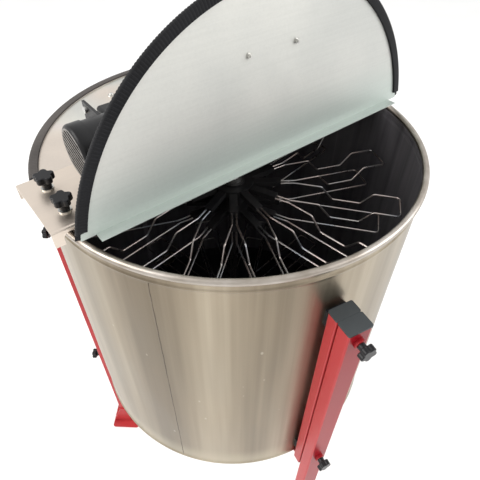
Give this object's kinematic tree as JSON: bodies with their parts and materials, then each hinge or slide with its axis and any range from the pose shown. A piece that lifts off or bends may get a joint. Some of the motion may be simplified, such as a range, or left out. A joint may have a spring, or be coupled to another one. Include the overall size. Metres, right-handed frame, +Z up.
{
  "type": "honey extractor",
  "caption": "Drum honey extractor on a clamped tube stand, with a motor-driven radial wire basket, a cross bridge, two hinged half lids and a swinging outlet gate.",
  "frame": {"origin": "on the floor at the centre of the three foot holes, under the drum axis", "axes": "+Z up along the drum axis, X along the bridge with the motor at -X, the front lid towards -Y"},
  "size_m": [0.7376, 0.8005, 1.3855],
  "materials": {
    "stainless": "polished sheet",
    "drum_steel": "bright polished sheet",
    "lid_steel": "satin sheet",
    "wire_steel": "polished wire",
    "red_paint": "gloss",
    "black_paint": "satin",
    "black_plastic": "matte",
    "cap_plastic": "matte",
    "hub_plastic": "matte",
    "rubber": "ribbed",
    "zinc": "zinc plated",
    "gear_steel": "oiled"
  },
  "bodies": {
    "stand": {"drum_wall": "drum_steel", "drum_bottom": "stainless", "bottom_crossbar": "stainless", "bottom_bearing": "zinc", "outlet_spout": "stainless", "bracket_tubes": "red_paint", "leg_tubes": "red_paint", "foot_plates": "red_paint", "tube_caps": "cap_plastic", "leg_pads": "rubber", "bracket_bolts": "zinc", "bridge_plate": "stainless", "clamp_lugs": "stainless", "knob_washers": "zinc", "top_bearing_housing": "zinc", "bridge_bolts": "zinc", "motor_body": "black_paint", "motor_vent_cover": "black_plastic", "motor_bracket": "black_paint", "pinion_bearing_block": "black_paint", "terminal_box": "black_plastic", "cable_gland": "black_plastic", "gear_cover": "stainless", "bridge_hinge_leaves": "zinc", "hinge_pins": "zinc"},
    "basket": {"main_shaft": "stainless", "upper_hub": "hub_plastic", "lower_hub": "hub_plastic", "upper_loops": "wire_steel", "upper_rests": "wire_steel", "lower_loops": "wire_steel", "lower_rests": "wire_steel", "hub_collars": "zinc", "bevel_wheel": "gear_steel"},
    "drive_shaft": {"pinion_shaft": "zinc", "bevel_pinion": "gear_steel", "motor_fan": "black_plastic"},
    "front_lid": {"front_lid_panel": "lid_steel", "front_lid_trim": "rubber", "front_lid_handle": "black_plastic", "front_lid_nuts": "zinc", "front_lid_leaves": "zinc"},
    "rear_lid": {"rear_lid_panel": "lid_steel", "rear_lid_trim": "rubber", "rear_lid_handle": "black_plastic", "rear_lid_nuts": "zinc", "rear_lid_leaves": "zinc"},
    "outlet_gate": {"gate_blade": "stainless"},
    "outlet_screw": {"gate_screw": "zinc"},
    "bridge_knob_left_front_body": {"bridge_knob_left_front": "black_plastic"},
    "bridge_knob_left_rear_body": {"bridge_knob_left_rear": "black_plastic"},
    "bridge_knob_right_front_body": {"bridge_knob_right_front": "black_plastic"},
    "bridge_knob_right_rear_body": {"bridge_knob_right_rear": "black_plastic"},
    "leg_knob_front_upper_body": {"leg_knob_front_upper": "black_plastic"},
    "leg_knob_front_lower_body": {"leg_knob_front_lower": "black_plastic"},
    "leg_knob_right_upper_body": {"leg_knob_right_upper": "black_plastic"},
    "leg_knob_right_lower_body": {"leg_knob_right_lower": "black_plastic"},
    "leg_knob_left_upper_body": {"leg_knob_left_upper": "black_plastic"},
    "leg_knob_left_lower_body": {"leg_knob_left_lower": "black_plastic"}
  },
  "joints": [
    {"name": "basket_spin", "type": "hinge", "parent": "stand", "child": "basket", "pos_m": [0, 0, 1.11], "axis": [0, 0, 1], "continuous": true},
    {"name": "motor_spin", "type": "hinge", "parent": "stand", "child": "drive_shaft", "pos_m": [-0.1, 0, 1.183], "axis": [1, 0, 0], "continuous": true},
    {"name": "front_lid_hinge", "type": "hinge", "parent": "stand", "child": "front_lid", "pos_m": [0, -0.076, 1.132], "axis": [1, 0, 0], "range_deg": [0, 92]},
    {"name": "rear_lid_hinge", "type": "hinge", "parent": "stand", "child": "rear_lid", "pos_m": [0, 0.076, 1.132], "axis": [1, 0, 0], "range_deg": [0, 92]},
    {"name": "gate_swing", "type": "hinge", "parent": "stand", "child": "outlet_gate", "pos_m": [-0.034, 0.375, 0.542], "axis": [0, -1, 0], "range_deg": [0, 95]},
    {"name": "gate_screw_turn", "type": "hinge", "parent": "stand", "child": "outlet_screw", "pos_m": [-0.034, 0.375, 0.542], "axis": [0, 1, 0], "continuous": true},
    {"name": "bridge_knob_left_front_turn", "type": "hinge", "parent": "stand", "child": "bridge_knob_left_front_body", "pos_m": [-0.307, -0.03, 1.139], "axis": [0, 0, 1], "continuous": true},
    {"name": "bridge_knob_left_rear_turn", "type": "hinge", "parent": "stand", "child": "bridge_knob_left_rear_body", "pos_m": [-0.307, 0.03, 1.139], "axis": [0, 0, 1], "continuous": true},
    {"name": "bridge_knob_right_front_turn", "type": "hinge", "parent": "stand", "child": "bridge_knob_right_front_body", "pos_m": [0.307, -0.03, 1.139], "axis": [0, 0, 1], "continuous": true},
    {"name": "bridge_knob_right_rear_turn", "type": "hinge", "parent": "stand", "child": "bridge_knob_right_rear_body", "pos_m": [0.307, 0.03, 1.139], "axis": [0, 0, 1], "continuous": true},
    {"name": "leg_knob_front_upper_turn", "type": "hinge", "parent": "stand", "child": "leg_knob_front_upper_body", "pos_m": [-0.07346, -0.37793, 0.996], "axis": [-0.1908, -0.9816, 0], "continuous": true},
    {"name": "leg_knob_front_lower_turn", "type": "hinge", "parent": "stand", "child": "leg_knob_front_lower_body", "pos_m": [-0.07346, -0.37793, 0.583], "axis": [-0.1908, -0.9816, 0], "continuous": true},
    {"name": "leg_knob_right_upper_turn", "type": "hinge", "parent": "stand", "child": "leg_knob_right_upper_body", "pos_m": [0.36402, 0.12534, 0.996], "axis": [0.9455, 0.3256, 0], "continuous": true},
    {"name": "leg_knob_right_lower_turn", "type": "hinge", "parent": "stand", "child": "leg_knob_right_lower_body", "pos_m": [0.36402, 0.12534, 0.583], "axis": [0.9455, 0.3256, 0], "continuous": true},
    {"name": "leg_knob_left_upper_turn", "type": "hinge", "parent": "stand", "child": "leg_knob_left_upper_body", "pos_m": [-0.29056, 0.25258, 0.866], "axis": [-0.7547, 0.6561, 0], "continuous": true},
    {"name": "leg_knob_left_lower_turn", "type": "hinge", "parent": "stand", "child": "leg_knob_left_lower_body", "pos_m": [-0.29056, 0.25258, 0.392], "axis": [-0.7547, 0.6561, 0], "continuous": true}
  ],
  "couplings": [
    {"joint": "motor_spin", "follows": "basket_spin", "ratio": -3}
  ]
}
